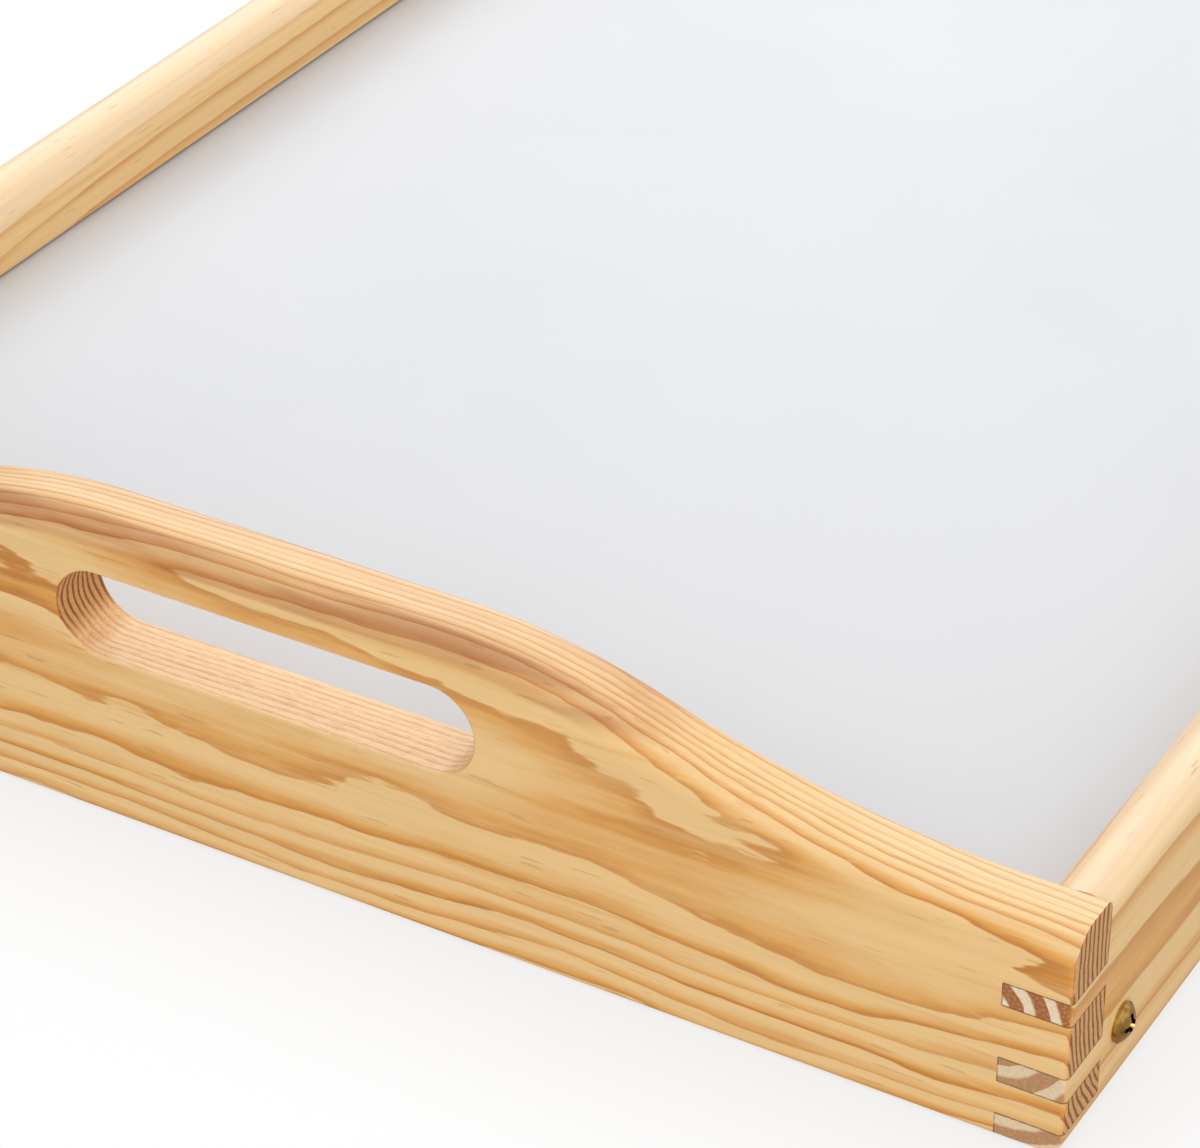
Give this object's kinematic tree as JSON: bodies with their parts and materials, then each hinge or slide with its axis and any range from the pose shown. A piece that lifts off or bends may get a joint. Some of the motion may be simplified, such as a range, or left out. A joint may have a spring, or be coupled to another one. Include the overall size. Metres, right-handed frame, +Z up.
{
  "type": "bed tray table",
  "caption": "Pine bed tray with a white laminated panel, raised wavy end boards with finger slots, and folding leg frames.",
  "frame": {"origin": "centre of the tray's outline, on the surface that the folded tray stands on", "axes": "+X along the rails, towards the right end board; +Y along the end boards, towards the back rail; +Z up"},
  "size_m": [0.5, 0.3042, 0.0606],
  "materials": {
    "pine_frame": "clear satin lacquer",
    "pine_leg": "clear satin lacquer",
    "white_laminate": "smooth white laminate, semi-matt",
    "brass_screw": "polished brass plate",
    "zinc_steel": "bright zinc plate"
  },
  "bodies": {
    "tray": {"end_board_left": "pine_frame", "end_board_right": "pine_frame", "rail_front": "pine_frame", "rail_back": "pine_frame", "tray_panel": "white_laminate", "pivot_screw_left_front": "brass_screw", "pivot_screw_left_back": "brass_screw", "pivot_screw_right_front": "brass_screw", "pivot_screw_right_back": "brass_screw", "rail_washer_left_front": "zinc_steel", "rail_washer_left_back": "zinc_steel", "rail_washer_right_front": "zinc_steel", "rail_washer_right_back": "zinc_steel", "nut_washer_left_front": "zinc_steel", "nut_washer_left_back": "zinc_steel", "nut_washer_right_front": "zinc_steel", "nut_washer_right_back": "zinc_steel", "lock_nut_left_front": "zinc_steel", "lock_nut_left_back": "zinc_steel", "lock_nut_right_front": "zinc_steel", "lock_nut_right_back": "zinc_steel"},
    "leg_frame_left": {"leg_left_front": "pine_leg", "leg_left_back": "pine_leg", "crossbar_left": "pine_leg"},
    "leg_frame_right": {"leg_right_front": "pine_leg", "leg_right_back": "pine_leg", "crossbar_right": "pine_leg"}
  },
  "joints": [
    {"name": "leg_fold_left", "type": "hinge", "parent": "tray", "child": "leg_frame_left", "pos_m": [-0.2295, 0, 0.0136], "axis": [0, 1, 0], "range_deg": [0, 91]},
    {"name": "leg_fold_right", "type": "hinge", "parent": "tray", "child": "leg_frame_right", "pos_m": [0.2295, 0, 0.0136], "axis": [0, -1, 0], "range_deg": [0, 91]}
  ]
}
